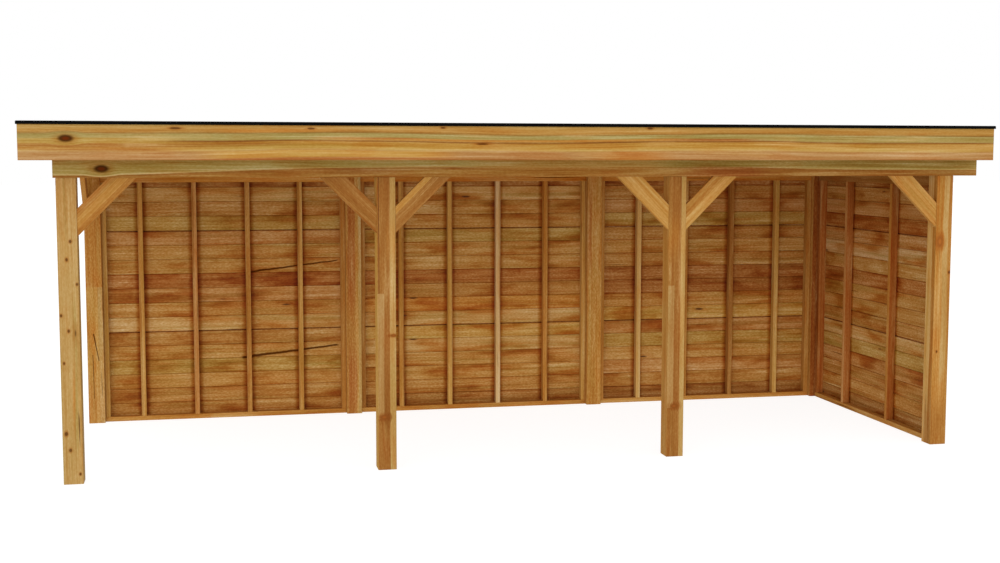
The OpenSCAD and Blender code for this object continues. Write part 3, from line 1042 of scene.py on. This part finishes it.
def addMembrane():
    low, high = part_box("roof_membrane")
    edgeLow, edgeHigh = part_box("fascia_front")
    thickness = membrane["thickness"]
    fasciaThickness = edgeHigh.y - edgeLow.y
    # Half the length and half the width inside the fascia
    inner = Vector((high.x - fasciaThickness - thickness, high.y - fasciaThickness - thickness, 0))
    clearSelection()
    bpy.ops.mesh.primitive_grid_add(x_subdivisions=membrane["cells"][0], y_subdivisions=membrane["cells"][1],
                                    size=2, location=(0, 0, low.z + thickness))
    sheet = bpy.context.object
    sheet.scale = (inner.x, inner.y, 1)
    bpy.ops.object.transform_apply(location=True, rotation=True, scale=True)
    lengthScale, widthScale, start = membrane["rippleScale"]
    for vertex in sheet.data.vertices:
        x, y = vertex.co.x, vertex.co.y
        lift = noise.noise(Vector((x * lengthScale, y * widthScale, start)))
        calm = min(1, min(inner.x - abs(x), inner.y - abs(y)) / membrane["flatEdge"])
        vertex.co.z += membrane["ripple"] * max(0, lift) * calm
    bpy.ops.object.mode_set(mode="EDIT")
    bpy.ops.mesh.select_all(action="SELECT")
    bpy.ops.mesh.region_to_loop()
    bpy.ops.mesh.extrude_edges_move(TRANSFORM_OT_translate={"value": (0, 0, high.z - low.z - thickness)})
    bpy.ops.mesh.extrude_edges_move(TRANSFORM_OT_translate={"value": (0, 0, 0)})
    bpy.ops.transform.resize(value=(high.x / inner.x, high.y / inner.y, 1), center_override=(0, 0, 0))
    bpy.ops.mesh.select_all(action="SELECT")
    bpy.ops.mesh.normals_make_consistent(inside=False)
    bpy.ops.object.mode_set(mode="OBJECT")
    if sheet.data.polygons[0].normal.z < 0:
        sheet.data.flip_normals()
    solid = sheet.modifiers.new("thickness", "SOLIDIFY")
    solid.thickness = thickness
    solid.offset = -1
    bpy.ops.object.modifier_apply(modifier=solid.name)
    bpy.ops.object.shade_smooth_by_angle(angle=math.radians(membrane["smoothBelow"]))
    sheet.data.materials.append(dustedFinish("roofRubber", membrane["rubber"]))
    handOver([sheet], "roof_membrane", "roofMembraneSheet")


print("roof membrane")
addMembrane()


# Trim: black coated metal, on the construction's own section

trim = {
    "nodes": ("trim_front", "trim_rear", "trim_left", "trim_right"),
    "coat": {
        "colour": (4, 4, 4), "dust": (26, 26, 26), "patch": (6.0, 4.0), "dusty": (0.5, 0.8, 0.0, 0.1),
        "texture": (420.0, 1.0), "relief": 0.08, "reliefDepth": 0.0005,
        "roughness": (0.3, 0.7, 0.5, 0.65), "shine": 0.04,
    },
}

print("trim")
blackCoat = dustedFinish("blackTrimCoat", trim["coat"])
for node in trim["nodes"]:
    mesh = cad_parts[node].data
    mesh.materials.clear()
    mesh.materials.append(blackCoat)


# Stage: pale floor, soft light, camera

stage = {
    "floorSize": 200,
    "bounce": (0.86, 0.86, 0.86, 1),
    "shadow": (0.3, 0.3, 0.3, 1),
    "glow": 0.88,
    "world": 0.76,
    "sun": 0.8,
    "sunSpread": 60,
    "sunPlace": (-4, -8, 6),
    "sunTurn": (72, 0, -18),
    "white": (1, 1, 1, 1),
    "lens": 50,
    "sensor": 36,
    "eye": (-2.6564, -12.3752, 2.5713),
    "pan": -12.072,
    "tilt": -5.307,
    "roll": 0.068,
}


def addFloor():
    clearSelection()
    bpy.ops.mesh.primitive_plane_add(size=stage["floorSize"], location=(0, 0, 0))
    floor = bpy.context.object
    floor.name = "paleFloor"
    material, tree, shader = newFinish("paleFloor")
    tree.nodes.remove(shader)
    # The camera sees a glow with a faint shadow on it, and the rest of the room a plain floor
    path = addNode(tree, "ShaderNodeLightPath")
    shaded = addNode(tree, "ShaderNodeBsdfDiffuse", {"Color": stage["shadow"]})
    glow = addNode(tree, "ShaderNodeEmission", {"Color": stage["white"], "Strength": stage["glow"]})
    seen = addNode(tree, "ShaderNodeAddShader", {0: shaded.outputs[0], 1: glow.outputs[0]})
    plain = addNode(tree, "ShaderNodeBsdfDiffuse", {"Color": stage["bounce"]})
    shaders = {"Fac": path.outputs["Is Camera Ray"], 1: plain.outputs[0], 2: seen.outputs[0]}
    mix = addNode(tree, "ShaderNodeMixShader", shaders)
    plug(tree, tree.nodes["Material Output"].inputs["Surface"], mix.outputs[0])
    floor.data.materials.append(material)
    # The soft room goes on below the floor, so light comes up under the roof too
    floor.visible_diffuse = False
    floor.visible_shadow = False


def addWorld():
    # Full white to the eye and in reflections, softer as light
    world = bpy.data.worlds.new("softRoom")
    bpy.context.scene.world = world
    world.use_nodes = True
    tree = world.node_tree
    background = tree.nodes["Background"]
    path = addNode(tree, "ShaderNodeLightPath")
    seen = calc(tree, "MAXIMUM", path.outputs["Is Camera Ray"], path.outputs["Is Glossy Ray"])
    seen = calc(tree, "MAXIMUM", seen, path.outputs["Is Transmission Ray"])
    strength = calc(tree, "MULTIPLY_ADD", seen, 1 - stage["world"], stage["world"])
    plug(tree, background.inputs["Color"], stage["white"])
    plug(tree, background.inputs["Strength"], strength)


def addLamp():
    turn = [math.radians(a) for a in stage["sunTurn"]]
    bpy.ops.object.light_add(type="SUN", location=stage["sunPlace"], rotation=turn)
    lamp = bpy.context.object
    lamp.data.energy = stage["sun"]
    lamp.data.angle = math.radians(stage["sunSpread"])


def turned(degrees, axis):
    return Matrix.Rotation(math.radians(degrees), 4, axis)


def addCamera():
    bpy.ops.object.camera_add(location=stage["eye"])
    camera = bpy.context.object
    camera.data.lens = stage["lens"]
    camera.data.sensor_width = stage["sensor"]
    aim = turned(stage["pan"], "Z") @ turned(90 + stage["tilt"], "X")
    camera.matrix_world = Matrix.Translation(stage["eye"]) @ aim @ turned(stage["roll"], "Z")
    bpy.context.scene.camera = camera


print("stage")
addFloor()
addWorld()
addLamp()
addCamera()
bpy.context.scene.view_settings.view_transform = "Standard"
